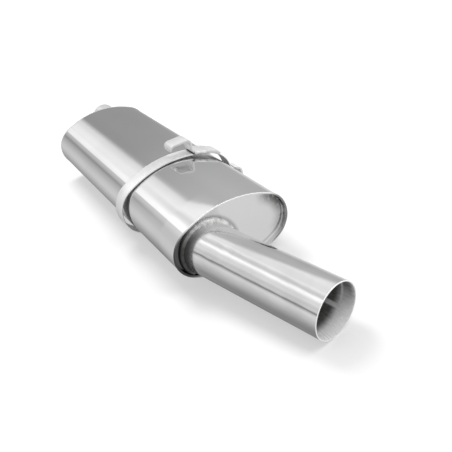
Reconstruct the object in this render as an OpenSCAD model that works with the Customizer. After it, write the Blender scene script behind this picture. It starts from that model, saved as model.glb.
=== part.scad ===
// Rear muffler: an oval rolled silencer with recessed end caps, a wide angled
// tail pipe, an offset inlet pipe, and a loose strap with two hanger hooks.
// Origin: centre of the inlet pipe's open end. +X runs along the body towards
// the tail pipe, +Y runs across the oval's long axis, +Z is up.

/* [Body shell] */
// Width of the oval body, along Y
body_w = 178; // [160:1:200]
// Height of the oval body, along Z
body_h = 104; // [100:1:110]
// How much smaller the radius of the oval's rounded sides is than half its height
side_flat = 12; // [8:1:18]
// Length of the body between its two rims
body_l = 508; // [380:1:620]
// Sheet thickness of the shell
shell_t = 1.2; // [0.8:0.1:1.6]
// Width of the slit that the long seam weld fills
seam_gap = 0.8; // [0.4:0.1:1.2]
// Width of the long seam's bead on the outside
seam_bead_w = 4; // [3:0.5:6]
// Height of the long seam's bead over the shell
seam_bead_h = 0.6; // [0.4:0.1:1]

/* [End caps] */
// Sheet thickness of the end caps
cap_t = 1.2; // [1:0.1:1.5]
// Depth from the rim to the cap's flat plate
cap_recess = 6.5; // [5:0.5:10]
// Inner radius of the bend between plate and flange
cap_bend_r = 2; // [1:0.5:3]
// Radius of the fused bead along each rim
rim_bead_r = 1.2; // [1:0.1:1.2]

/* [Tail pipe] */
// Outer diameter of the tail pipe
tail_d = 75; // [63:1:75]
// Wall thickness of the tail pipe
tail_t = 1.5; // [1.2:0.1:2]
// Length of the tail pipe in front of the rim, along its axis
tail_l = 205; // [150:1:260]
// Distance of the tail pipe's axis in the cap from the body's -Y side
tail_side = 53; // [51:1:59]
// Height of the tail pipe's underside in the cap, above the body's underside
tail_low = 8; // [8:0.5:14]
// Angle of the tail pipe towards +Y
tail_turn = 14.7; // [5:0.1:18]
// Downward angle of the tail pipe
tail_drop = 3.9; // [0:0.1:5]
// How far the tail pipe reaches in behind the cap's plate
tail_in = 10; // [6:1:20]
// Length of the slightly narrower neck in front of the cap's plate
tail_neck_l = 22; // [18:1:30]
// Radius of the weld bead round the tail pipe
tail_bead_r = 5.5; // [4:0.5:7]

/* [Inlet pipe] */
// Outer diameter of the inlet pipe
inlet_d = 45; // [42:1:48]
// Wall thickness of the inlet pipe
inlet_t = 1.5; // [1.2:0.1:2]
// Length of the inlet pipe behind the rear rim
inlet_l = 115; // [80:1:160]
// Distance of the inlet pipe's axis from the body's +Y side
inlet_side = 48; // [45:1:55]
// How far the inlet pipe reaches in past the rear cap's plate
inlet_in = 30; // [20:1:45]
// Radius of the weld bead round the inlet pipe
inlet_bead_r = 4; // [3:0.5:5]

/* [Inside] */
// Length of the chamber behind the front cap
front_chamber_l = 90; // [60:1:110]
// Length of the chamber in front of the rear cap
rear_chamber_l = 60; // [56:1:80]
// Sheet thickness of the baffles
baffle_t = 1.5; // [1:0.1:2]
// Length of the baffles' flanges
baffle_flange_l = 10; // [6:1:14]
// Wall thickness of the perforated core tube
core_t = 1.2; // [1:0.1:1.5]
// Diameter of one perforation
perf_d = 6; // [4:0.5:8]
// Perforations round the core tube
perf_around = 6; // [4:1:8]
// Rings of perforations along the core tube
perf_rings = 10; // [6:1:14]
// Thickness of the steel wool sleeve round the core
sleeve_t = 5; // [3:0.5:8]

/* [Strap] */
// How much wider the strap's inner oval is than the body
strap_slack_w = 12; // [10:0.5:16]
// How much higher the strap's inner oval is than the body
strap_slack_h = 2; // [2:0.5:5]
// How much larger the side radius of the strap's inner oval is than the body's
strap_slack_r = 1; // [0:0.5:1]
// Width of the strap's band, along X
strap_w = 26; // [20:1:32]
// Thickness of the strap's band
strap_t = 2; // [1.5:0.1:3]
// Distance from the front rim to the strap's front edge
strap_back = 168; // [120:1:240]
// Roll of the strap about X
strap_roll = 2; // [0:0.5:2]
// Sideways shift of the strap
strap_shift = 0.5; // [0:0.1:0.8]
// Upward shift of the strap
strap_lift = 0.3; // [0:0.1:0.4]
// Radius of one tack weld between strap and shell
tack_r = 3; // [2:0.5:4]

/* [Hooks] */
// Thickness of the hook's flat bar
hook_t = 3; // [2:0.5:4]
// Inner radius of the hook's bends
hook_bend_r = 5; // [3:0.5:6]
// Depth of the hook's turned-down tip, below the arm's top
tip_l = 10; // [9:0.5:14]
// Corner radius of the tip
tip_corner_r = 7; // [4:0.5:9]
// Place of the top hook's leg, along Y from the body's middle
top_leg_y = 38; // [34:1:44]
// Height of the top hook's arm above the body's top
top_arm_h = 25; // [20:1:38]
// Length of the top hook's arm, from leg to tip
top_arm_l = 33; // [26:1:44]
// Direction of the top foot's end round the strap, from straight up
top_foot_a = 42; // [30:1:60]
// Depth of the side hook's leg below the body's middle
side_leg_z = 34; // [30:1:35]
// Reach of the side hook's arm past the body's side
side_arm_out = 27; // [21:1:35]
// Length of the side hook's arm, from leg to tip
side_arm_l = 33; // [26:1:44]
// Direction of the side foot's end round the strap, from straight down
side_foot_a = 16; // [12:1:24]
// Radius of one lump of the hook welds
lump_r = 3; // [2:0.5:4]
// Distance between the lumps of the hook welds
lump_step = 4; // [3:0.5:5]
// Lumps along each edge of a hook's foot
lump_count = 6; // [4:1:7]

/* [Fits] */
// Gap between sheet parts that slide into each other
fit_gap = 0.15; // [0.1:0.05:0.25]
// How much smaller the pipes' radius is where the caps hold them
neck_in = 0.4; // [0.4:0.05:0.6]
// Gap between the tack welds and the shell's round surface
tack_gap = 0.1; // [0.05:0.05:0.2]

/* [Hidden] */

polished = [0.80, 0.80, 0.81];
brushed = [0.70, 0.70, 0.71];
weld_grey = [0.55, 0.53, 0.50];
wool_tan = [0.72, 0.66, 0.50];

side_r = body_h / 2 - side_flat;
tail_r = tail_d / 2;
inlet_r = inlet_d / 2;
// Sideways places of the two pipes' axes, from the body's middle
tail_y = tail_side - body_w / 2;
inlet_y = body_w / 2 - inlet_side;
tail_neck_r = tail_r - neck_in;
inlet_neck_r = inlet_r - neck_in;
core_r = inlet_neck_r + fit_gap + core_t;
sleeve_r = core_r + fit_gap + sleeve_t;
// Height of the tail pipe's axis in the cap, from the body's middle
tail_z = tail_r + tail_low - body_h / 2;

// Size of the strap's inner oval, and the outer faces of the hooks' arms
strap_in_w = body_w + strap_slack_w;
strap_in_h = body_h + strap_slack_h;
strap_side_r = side_r + strap_slack_r;
top_arm_z = body_h / 2 + top_arm_h;
side_arm_y = body_w / 2 + side_arm_out;

// Places along X, measured from the rear rim
front_plate_x = body_l - cap_recess;
rear_plate_x = cap_recess;
front_baffle_x = body_l - front_chamber_l;
rear_baffle_x = rear_chamber_l;
strap_x = body_l - strap_back - strap_w;

// Cuts reach past the faces that they open by this much
cut = 5;
// The body's outline grows inwards by this much where the sheet parts fit
liner_in = shell_t + fit_gap;

// Beads on the caps stop at the start of the bend, this far in
bead_in = liner_in + cap_t + cap_bend_r;

// Half of the slit's width
seam_half = seam_gap / 2;
// Overlap of the plate and the swept border of a cap or baffle
plate_lap = 1;
// The inlet pipe's neck reaches this far out of its weld bead
neck_out = 0.5;
// Straight border that is swept round with the bend of a cap or baffle
plate_border = 3;
// Flat pieces that draw a full round of a small bend or bead
bend_sides = 12;
// Flat pieces that draw each arc of a hook's foot
foot_sides = 8;
// Radius that every other lump of weld is smaller by
lump_vary = 0.3;

// The oval's large arcs: distance of their centres past the middle
function arc_k(w, h, r) =
    let (c = w / 2 - r, q = h / 2 - r) (c * c - q * q) / (2 * q);
// Angle from +Z at which a large arc meets a side arc
function arc_angle(w, h, r) = atan2(w / 2 - r, arc_k(w, h, r));

// Point of the strap's plane in the part's YZ plane
function strap_point(p) = [
    strap_shift + p[0] * cos(strap_roll) - p[1] * sin(strap_roll),
    strap_lift + p[0] * sin(strap_roll) + p[1] * cos(strap_roll)];
// Turn of a foot bend round the arc centre p of radius r, for a leg at x
function bend_turn(p, r, x) =
    asin((x + hook_t + hook_bend_r - p[0]) / (r + fit_gap + hook_t + hook_bend_r));
// Centre of that bend
function bend_point(p, r, psi) =
    p + (r + fit_gap + hook_t + hook_bend_r) * [sin(psi), cos(psi)];

// Arc centres of the strap: under its top arc, of its +Y side arc, and over
// its bottom arc; then the radii of the strap's outside on those arcs
strap_k = arc_k(strap_in_w, strap_in_h, strap_side_r);
top_arc_p = strap_point([0, -strap_k]);
under_arc_p = strap_point([0, strap_k]);
side_arc_p = strap_point([strap_in_w / 2 - strap_side_r, 0]);
foot_in_r = strap_in_h / 2 + strap_k + strap_t;
side_in_r = strap_side_r + strap_t;
// The lumps' centres lie here, so that they stop at the strap's inside
lump_line_r = foot_in_r - strap_t + lump_r;

// Direction, from +Z to +Y, in which the top and the side arc meet
strap_join = arc_angle(strap_in_w, strap_in_h, strap_side_r) - strap_roll;

// The hooks' foot bends. The side hook is drawn lying, then turned upright,
// so that its points hold [-Z, +Y].
top_psi = bend_turn(top_arc_p, foot_in_r, top_leg_y);
side_arc_q = [-side_arc_p[1], side_arc_p[0]];
under_arc_q = [-under_arc_p[1], under_arc_p[0]];
side_psi = bend_turn(side_arc_q, side_in_r, side_leg_z);

// Turns a shape drawn in XY with its height along Z so that it lies along X
module along_x() {
    rotate([90, 0, 90]) children();
}

// Puts a shape that is measured from the rear rim and the body's middle
// into the part's frame
module in_frame() {
    translate([inlet_l, -inlet_y, 0]) children();
}

// Wedge over the upper large arc of an oval
module top_wedge(c, a, far) {
    polygon([[-c, 0], [c, 0], [c + far * sin(a), far * cos(a)],
        [-c - far * sin(a), far * cos(a)]]);
}

// Wedge over the +x side arc of an oval
module side_wedge(c, a, far) {
    polygon([[c, 0], [c + far * sin(a), -far * cos(a)],
        [c + far, 0], [c + far * sin(a), far * cos(a)]]);
}

// Flat oval of four arcs that meet smoothly
module oval(w, h, r) {
    c = w / 2 - r;
    k = arc_k(w, h, r);
    a = arc_angle(w, h, r);
    for (up = [0, 1]) mirror([0, up, 0]) intersection() {
        translate([0, -k]) circle(r = h / 2 + k, $fn = 128);
        top_wedge(c, a, w);
    }
    for (side = [0, 1]) mirror([side, 0, 0]) intersection() {
        translate([c, 0]) circle(r = r, $fn = 96);
        side_wedge(c, a, w);
    }
}

// Sweeps a profile round an oval. The profile's x is the distance outwards
// from the oval's line and its y is the place along the body, up to deep.
module oval_sweep(w, h, r, deep) {
    c = w / 2 - r;
    k = arc_k(w, h, r);
    a = arc_angle(w, h, r);
    for (up = [0, 1]) mirror([0, up, 0]) intersection() {
        translate([0, -k, 0]) rotate_extrude($fn = 128)
            translate([h / 2 + k, 0]) children();
        translate([0, 0, -cut]) linear_extrude(deep + 2 * cut) top_wedge(c, a, w);
    }
    for (side = [0, 1]) mirror([side, 0, 0]) intersection() {
        translate([c, 0, 0]) rotate_extrude($fn = 96)
            translate([r, 0]) children();
        translate([0, 0, -cut]) linear_extrude(deep + 2 * cut) side_wedge(c, a, w);
    }
}

// Outline of the body moved inwards by d
module body_oval(d) {
    oval(body_w - 2 * d, body_h - 2 * d, side_r - d);
}

// Profile swept round the body's outline moved inwards by d
module body_sweep(d, deep) {
    along_x() oval_sweep(body_w - 2 * d, body_h - 2 * d, side_r - d, deep) children();
}

// Ring between the body's outlines moved inwards by d0 and by d1
module body_ring(d0, d1, l) {
    along_x() linear_extrude(l) difference() {
        body_oval(d0);
        body_oval(d1);
    }
}

// Straight tube along X
module tube_x(r, t, l) {
    rotate([0, 90, 0]) difference() {
        cylinder(h = l, r = r, $fn = 96);
        translate([0, 0, -cut]) cylinder(h = l + 2 * cut, r = r - t, $fn = 96);
    }
}

// Tube along X whose first part is a narrower neck outside
module necked_tube_x(r, neck_r, neck_l, t, l) {
    rotate([0, 90, 0]) difference() {
        union() {
            cylinder(h = l, r = neck_r, $fn = 96);
            translate([0, 0, neck_l]) cylinder(h = l - neck_l, r = r, $fn = 96);
        }
        translate([0, 0, -cut]) cylinder(h = l + 2 * cut, r = r - t, $fn = 96);
    }
}

// Rolled shell with the slit of its long seam on the +Y side
module shell() {
    color(polished) in_frame() difference() {
        body_ring(0, shell_t, body_l);
        translate([-cut, body_w / 2 - side_r, -seam_half])
            cube([body_l + 2 * cut, side_r + cut, seam_gap]);
    }
}

// Bead that fills the slit and stands a little proud of the shell
module shell_seam_weld() {
    color(weld_grey) in_frame() along_x() intersection() {
        union() {
            linear_extrude(body_l) translate([body_w / 2 - side_r, -seam_half])
                square([side_r, seam_gap]);
            linear_extrude(body_l) translate([body_w / 2 - side_r, -seam_bead_w / 2])
                square([side_r + seam_bead_h, seam_bead_w]);
        }
        linear_extrude(body_l) difference() {
            translate([body_w / 2 - side_r, 0])
                circle(r = side_r + seam_bead_h, $fn = 96);
            difference() {
                translate([body_w / 2 - side_r, 0]) circle(r = side_r, $fn = 96);
                translate([body_w / 2 - side_r, -seam_half])
                    square([side_r + cut, seam_gap]);
            }
            translate([body_w / 2 - side_r, 0])
                circle(r = side_r - shell_t, $fn = 96);
        }
    }
}

// Section of a pressed sheet edge: flange, bend and the plate's border.
// The flange's outside lies at x = 0 and its lip at y = 0.
module flange_section(t, depth) {
    translate([-t, 0]) square([t, depth - cap_bend_r]);
    translate([-t - cap_bend_r, depth - cap_bend_r]) intersection() {
        difference() {
            circle(r = cap_bend_r + t, $fn = bend_sides);
            circle(r = cap_bend_r, $fn = bend_sides);
        }
        square(cap_bend_r + t);
    }
    translate([-t - cap_bend_r - plate_border, depth]) square([plate_border, t]);
}

// Pressed sheet with its flange's lip at x = 0 and its plate towards +X
module pressed_sheet(t, depth) {
    plate_in = liner_in + t + cap_bend_r + plate_border - plate_lap;
    body_sweep(liner_in, depth + t) flange_section(t, depth);
    translate([depth, 0, 0]) along_x() linear_extrude(t) body_oval(plate_in);
}

// Moves a shape drawn along +X to the tail pipe's axis, with x = 0 at the rim
module at_tail() {
    translate([front_plate_x, tail_y, tail_z])
        rotate([0, tail_drop, tail_turn])
            translate([cap_recess, 0, 0]) children();
}

module front_cap() {
    color(polished) in_frame() difference() {
        translate([body_l, 0, 0]) mirror([1, 0, 0]) pressed_sheet(cap_t, cap_recess);
        at_tail() translate([-cap_recess - cut * 4, 0, 0]) rotate([0, 90, 0])
            cylinder(h = cut * 8, r = tail_neck_r + fit_gap, $fn = 96);
    }
}

module rear_cap() {
    color(polished) in_frame() difference() {
        pressed_sheet(cap_t, cap_recess);
        translate([0, inlet_y, 0]) rotate([0, 90, 0])
            cylinder(h = cap_recess + cut, r = inlet_neck_r + fit_gap, $fn = 96);
    }
}

// Half-round bead along the joint of shell and cap, standing on the rim
module rim_bead() {
    body_sweep(shell_t / 2, rim_bead_r) intersection() {
        circle(r = rim_bead_r, $fn = bend_sides);
        translate([-rim_bead_r * 2, 0]) square(rim_bead_r * 4);
    }
}

module front_rim_weld() {
    color(polished) in_frame() translate([body_l, 0, 0]) rim_bead();
}

module rear_rim_weld() {
    color(polished) in_frame() mirror([1, 0, 0]) rim_bead();
}

module tail_pipe() {
    behind = cap_t + tail_in;
    color(polished) in_frame() at_tail() translate([-cap_recess - behind, 0, 0])
        necked_tube_x(tail_r, tail_neck_r, behind + tail_neck_l, tail_t,
            tail_l + cap_recess + behind);
}

// Round bead in the corner between a plate at x = 0 and a pipe along +X
module corner_bead(pipe_r, bead_r) {
    rotate([0, 90, 0]) rotate_extrude($fn = 96) intersection() {
        translate([pipe_r + bead_r / 4, 0]) circle(r = bead_r, $fn = 48);
        translate([pipe_r - bead_r, 0]) square([3 * bead_r, bead_r * 2]);
    }
}

module tail_pipe_weld() {
    color(weld_grey) in_frame() difference() {
        translate([front_plate_x, tail_y, tail_z]) corner_bead(tail_r, tail_bead_r);
        at_tail() translate([-cap_recess - cut * 4, 0, 0]) rotate([0, 90, 0])
            cylinder(h = cut * 8, r = tail_neck_r, $fn = 96);
        translate([front_plate_x - cut, 0, 0])
            body_ring(-2 * cut, bead_in, cap_recess + 2 * cut);
    }
}

module inlet_pipe() {
    behind = cap_t + inlet_in + inlet_bead_r + neck_out;
    color(polished) in_frame()
        translate([cap_recess + cap_t + inlet_in, inlet_y, 0]) mirror([1, 0, 0])
            necked_tube_x(inlet_r, inlet_neck_r, behind, inlet_t,
                inlet_l + cap_recess + cap_t + inlet_in);
}

module inlet_pipe_weld() {
    color(weld_grey) in_frame() difference() {
        translate([rear_plate_x, inlet_y, 0]) mirror([1, 0, 0])
            corner_bead(inlet_r, inlet_bead_r);
        translate([-cut, inlet_y, 0]) rotate([0, 90, 0])
            cylinder(h = rear_plate_x + 2 * cut, r = inlet_neck_r, $fn = 96);
        translate([-cut, 0, 0]) body_ring(-2 * cut, bead_in, cap_recess + 2 * cut);
    }
}

// Perforated tube that carries the gas through the packing. It starts round
// the inlet pipe's inner end.
module core_tube() {
    core_x = rear_plate_x + cap_t + inlet_in / 2;
    core_l = front_baffle_x + cut - core_x;
    perf_from = rear_baffle_x + 2 * baffle_flange_l;
    perf_pitch = (front_baffle_x - 2 * baffle_flange_l - perf_from) / (perf_rings - 1);
    color(brushed) in_frame() translate([0, inlet_y, 0]) difference() {
        translate([core_x, 0, 0]) tube_x(core_r, core_t, core_l);
        for (ring = [0 : perf_rings - 1], i = [0 : perf_around - 1])
            translate([perf_from + ring * perf_pitch, 0, 0])
                rotate([360 / perf_around * (i + (ring % 2) / 2), 0, 0])
                    cylinder(h = core_r + cut, d = perf_d, $fn = 24);
    }
}

// Steel wool wrapped round the core tube, between the baffles
module core_sleeve() {
    color(brushed) in_frame()
        translate([rear_baffle_x + baffle_t, inlet_y, 0])
            tube_x(sleeve_r, sleeve_t, front_baffle_x - rear_baffle_x - baffle_t);
}

// Glass wool that fills the middle of the body round the sleeve
module wool_packing() {
    wool_l = front_baffle_x - rear_baffle_x - baffle_t;
    wool_in = liner_in + baffle_t + fit_gap;
    color(wool_tan) in_frame() difference() {
        translate([rear_baffle_x + baffle_t, 0, 0]) along_x()
            linear_extrude(wool_l) body_oval(wool_in);
        translate([rear_baffle_x - cut, inlet_y, 0]) rotate([0, 90, 0])
            cylinder(h = wool_l + 4 * cut, r = sleeve_r, $fn = 96);
    }
}

// Flanged plate across the body with a hole for the core tube.
// Its plate starts at x = 0 and its flange runs towards -X.
module baffle_blank() {
    difference() {
        translate([baffle_t - baffle_flange_l, 0, 0])
            pressed_sheet(baffle_t, baffle_flange_l - baffle_t);
        translate([-cut, inlet_y, 0]) rotate([0, 90, 0])
            cylinder(h = baffle_t + 2 * cut, r = core_r + fit_gap, $fn = 96);
    }
}

module front_baffle() {
    color(brushed) in_frame() translate([front_baffle_x + baffle_t, 0, 0])
        mirror([1, 0, 0]) baffle_blank();
}

module rear_baffle() {
    color(brushed) in_frame() translate([rear_baffle_x, 0, 0]) baffle_blank();
}

// Oval band of the strap
module strap() {
    color(brushed) in_frame() translate([strap_x, strap_shift, strap_lift])
        rotate([strap_roll, 0, 0]) along_x() linear_extrude(strap_w) difference() {
            oval(strap_in_w + 2 * strap_t, strap_in_h + 2 * strap_t,
                strap_side_r + strap_t);
            oval(strap_in_w, strap_in_h, strap_side_r);
        }
}

// Dome with its flat side at x = 0, towards +X
module dome(r) {
    rotate([0, 90, 0]) rotate_extrude($fn = 48) intersection() {
        circle(r = r, $fn = 48);
        square(r);
    }
}

// Half of a dome, standing on z = 0
module half_dome(r) {
    rotate([90, 0, 0]) rotate([0, 90, 0]) rotate_extrude(angle = 180, $fn = 32)
        intersection() {
            circle(r = r, $fn = 32);
            square(r);
        }
}

// Tack welds between strap and shell. Each spot holds its direction from the
// body's middle line, 0 above or 1 below, and 0 or 1 for the strap's rear or
// front edge.
module strap_tack_welds() {
    spots = [[-17, 0, 0], [-12, 0, 0], [-11, 1, 0], [4, 1, 0], [-11, 1, 1], [4, 1, 1]];
    k = arc_k(body_w, body_h, side_r);
    r = body_h / 2 + k + tack_gap;
    color(weld_grey) in_frame() translate([strap_x, 0, 0])
        for (spot = spots)
            translate([spot[2] * strap_w, 0, 0]) mirror([1 - spot[2], 0, 0])
                mirror([0, 0, spot[1]]) translate([0, 0, -k])
                    rotate([-spot[0], 0, 0]) translate([0, 0, r]) half_dome(tack_r);
}

// Points of an arc round p, between two directions that run from +y to +x
function arc_points(p, r, a0, a1, n = bend_sides) =
    [for (i = [0 : n]) p + r * [sin(a0 + (a1 - a0) * i / n),
        cos(a0 + (a1 - a0) * i / n)]];

// Points of a hook's foot at a distance d from the strap: along the arc round
// p from psi to join, then along the arc round p2 from join to end
function foot_points(p, r, psi, join, p2, r2, end, d) = concat(
    arc_points(p, r + d, psi, join, foot_sides),
    arc_points(p2, r2 + d, join + (end - join) / foot_sides, end, foot_sides - 1));

// Reversed list
function turned(v) = [for (i = [len(v) - 1 : -1 : 0]) v[i]];

// Outline of a hook: foot, bend, leg up, arm towards -x and tip down
module hook_outline(foot_in, foot_out, bend_p, psi, arm_y, arm_l) {
    b = hook_bend_r;
    o = hook_bend_r + hook_t;
    leg_x = bend_p[0] - o;
    top_p = [leg_x - b, arm_y - o];
    tip_p = [leg_x - arm_l + o, arm_y - o];
    polygon(concat(
        turned(foot_in),
        arc_points(bend_p, o, psi + 180, 270),
        arc_points(top_p, b, 90, 0),
        arc_points(tip_p, b, 0, -90),
        [[tip_p[0] - b, arm_y - tip_l], [tip_p[0] - o, arm_y - tip_l]],
        arc_points(tip_p, o, -90, 0),
        arc_points(top_p, o, 0, 90),
        arc_points(bend_p, b, 270, psi + 180),
        foot_out));
}

// What rounds the two corners of a hook's tip, with the hook along X
module tip_corners(tip_y, tip_z) {
    for (side = [0, 1]) translate([strap_w * side, tip_y - cut, tip_z])
        mirror([side, 0, 0]) difference() {
            translate([-cut, 0, -cut]) cube([cut + tip_corner_r,
                cut + hook_t + hook_bend_r, cut + tip_corner_r]);
            translate([tip_corner_r, -cut, tip_corner_r]) rotate([-90, 0, 0])
                cylinder(h = hook_bend_r + hook_t + 3 * cut, r = tip_corner_r, $fn = 64);
        }
}

// A hook with its leg up and its tip towards -Y
module hook(p, r, psi, join, p2, r2, end, arm_z, arm_l) {
    bend_p = bend_point(p, r, psi);
    difference() {
        along_x() linear_extrude(strap_w) hook_outline(
            foot_points(p, r, psi, join, p2, r2, end, fit_gap),
            foot_points(p, r, psi, join, p2, r2, end, fit_gap + hook_t),
            bend_p, psi, arm_z, arm_l);
        tip_corners(bend_p[0] - hook_bend_r - hook_t - arm_l, arm_z - tip_l);
    }
}

// Lumps of weld on both edges of a foot, on the arc round p of radius r
module foot_lumps(p, r, from_a) {
    step_a = lump_step / r * 180 / PI;
    for (edge = [0, 1]) translate([edge * strap_w, 0, 0]) mirror([1 - edge, 0, 0])
        for (i = [0 : lump_count - 1])
            translate([0, p[0] + r * sin(from_a + i * step_a),
                p[1] + r * cos(from_a + i * step_a)])
                dome(lump_r - (i % 2) * lump_vary);
}

module top_hook() {
    color(brushed) in_frame() translate([strap_x, 0, 0])
        hook(top_arc_p, foot_in_r, top_psi, strap_join, side_arc_p, side_in_r,
            top_foot_a, top_arm_z, top_arm_l);
}

module top_hook_weld() {
    color(weld_grey) in_frame() translate([strap_x, 0, 0])
        foot_lumps(top_arc_p, lump_line_r, top_psi);
}

module side_hook() {
    color(brushed) in_frame() translate([strap_x, 0, 0]) rotate([-90, 0, 0])
        hook(side_arc_q, side_in_r, side_psi, 90 - strap_join - 2 * strap_roll,
            under_arc_q, foot_in_r, 90 - side_foot_a, side_arm_y, side_arm_l);
}

module side_hook_weld() {
    color(weld_grey) in_frame() translate([strap_x, 0, 0])
        foot_lumps(under_arc_p, lump_line_r, 90 + side_psi + lump_step / 2);
}

shell();
shell_seam_weld();
front_cap();
rear_cap();
front_rim_weld();
rear_rim_weld();
tail_pipe();
tail_pipe_weld();
inlet_pipe();
inlet_pipe_weld();
core_tube();
core_sleeve();
wool_packing();
front_baffle();
rear_baffle();
strap();
strap_tack_welds();
top_hook();
top_hook_weld();
side_hook();
side_hook_weld();
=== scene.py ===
"""Looks of the rear muffler: finishes, weld ripples, studio and camera round the CAD frame."""

import logging
import math
from dataclasses import dataclass, field
from enum import Enum

import bmesh
import bpy
from mathutils import Matrix, Vector

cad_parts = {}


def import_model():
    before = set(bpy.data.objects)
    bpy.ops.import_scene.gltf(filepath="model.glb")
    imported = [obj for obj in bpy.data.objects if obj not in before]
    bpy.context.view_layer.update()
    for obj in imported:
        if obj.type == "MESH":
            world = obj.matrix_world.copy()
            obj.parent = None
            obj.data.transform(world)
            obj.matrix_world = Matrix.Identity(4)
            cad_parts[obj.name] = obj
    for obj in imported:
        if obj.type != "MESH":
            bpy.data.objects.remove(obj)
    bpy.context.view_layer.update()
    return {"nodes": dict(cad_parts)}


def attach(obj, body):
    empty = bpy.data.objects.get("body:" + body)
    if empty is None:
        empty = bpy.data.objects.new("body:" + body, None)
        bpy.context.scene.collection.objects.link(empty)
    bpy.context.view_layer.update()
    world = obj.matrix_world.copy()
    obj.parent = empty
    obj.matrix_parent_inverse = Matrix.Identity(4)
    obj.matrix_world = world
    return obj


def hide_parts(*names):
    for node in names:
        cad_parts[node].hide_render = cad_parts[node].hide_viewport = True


LOG = logging.getLogger("muffler")
SEED = 11

Triple = tuple[float, float, float]
Socket = bpy.types.NodeSocket
Inputs = dict[str | int, object]

# Main places of the part, in metres: the body's middle line, its two rims and the
# radius of its narrow ends, the sunk plates of the caps, and the floor
BODY_Y = -0.041
REAR_RIM_X = 0.115
FRONT_RIM_X = 0.623
BODY_W = 0.178
SIDE_R = 0.040
PLATE_IN = 0.0065
FLOOR_Z = -0.0584

# The tail pipe's root on the cap's plate, its turn to +Y and its fall in degrees, and
# the distance from its root to its mouth
TAIL_ROOT = (FRONT_RIM_X - PLATE_IN, BODY_Y - 0.036, -0.0065)
TAIL_TURN = 14.7
TAIL_FALL = 3.9
TAIL_MOUTH = 0.2115

# Outer radii of both pipes and radii of their weld beads
TAIL_R = 0.0375
TAIL_BEAD_R = 0.0055
INLET_R = 0.0225
INLET_BEAD_R = 0.004

# Middles of the strap's four arcs, from the body's middle line, and their radii
STRAP_TOP = (0.004531, -0.11513)
STRAP_UNDER = (-0.003531, 0.11573)
STRAP_ENDS = ((-0.05347, -0.001585), (0.05447, 0.002185))
STRAP_ARC_R = 0.1695
STRAP_END_R = 0.042

# Socket types, and the turn that lays a flat arc round the X axis
FLOAT = "NodeSocketFloat"
VECTOR = "NodeSocketVector"
GEOMETRY = "NodeSocketGeometry"
ROUND_X = (math.pi / 2, 0.0, math.pi / 2)

# How finely an arc of ripples and a lump of weld are divided
ARC_STEPS = 128
LUMP_STEPS = 3

WHITE = (1.0, 1.0, 1.0)
# The darkest painted shade, used beside and on the tail pipe's weld
DEEP_SHADE = (0.035, 0.034, 0.033)


class Look(Enum):
    """The finishes that pieces are dressed in."""

    POLISHED = "polished_steel"
    TAIL = "tail_pipe_steel"
    RIM = "rim_steel"
    BRUSHED = "brushed_steel"
    PLAIN = "plain_steel"
    WELD = "weld_metal"
    # Weld metal with painted shade on its -Y side
    DARK_WELD = "side_shaded_weld"
    WOOL = "glass_wool"


def grey(level: float) -> Triple:
    """Gives the grey of one level."""
    return (level, level, level)


# Node trees


@dataclass(frozen=True)
class Fade:
    """A smooth change between two values over a range, with its ends held."""

    low: float
    high: float
    at_low: float = 0.0
    at_high: float = 1.0


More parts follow.
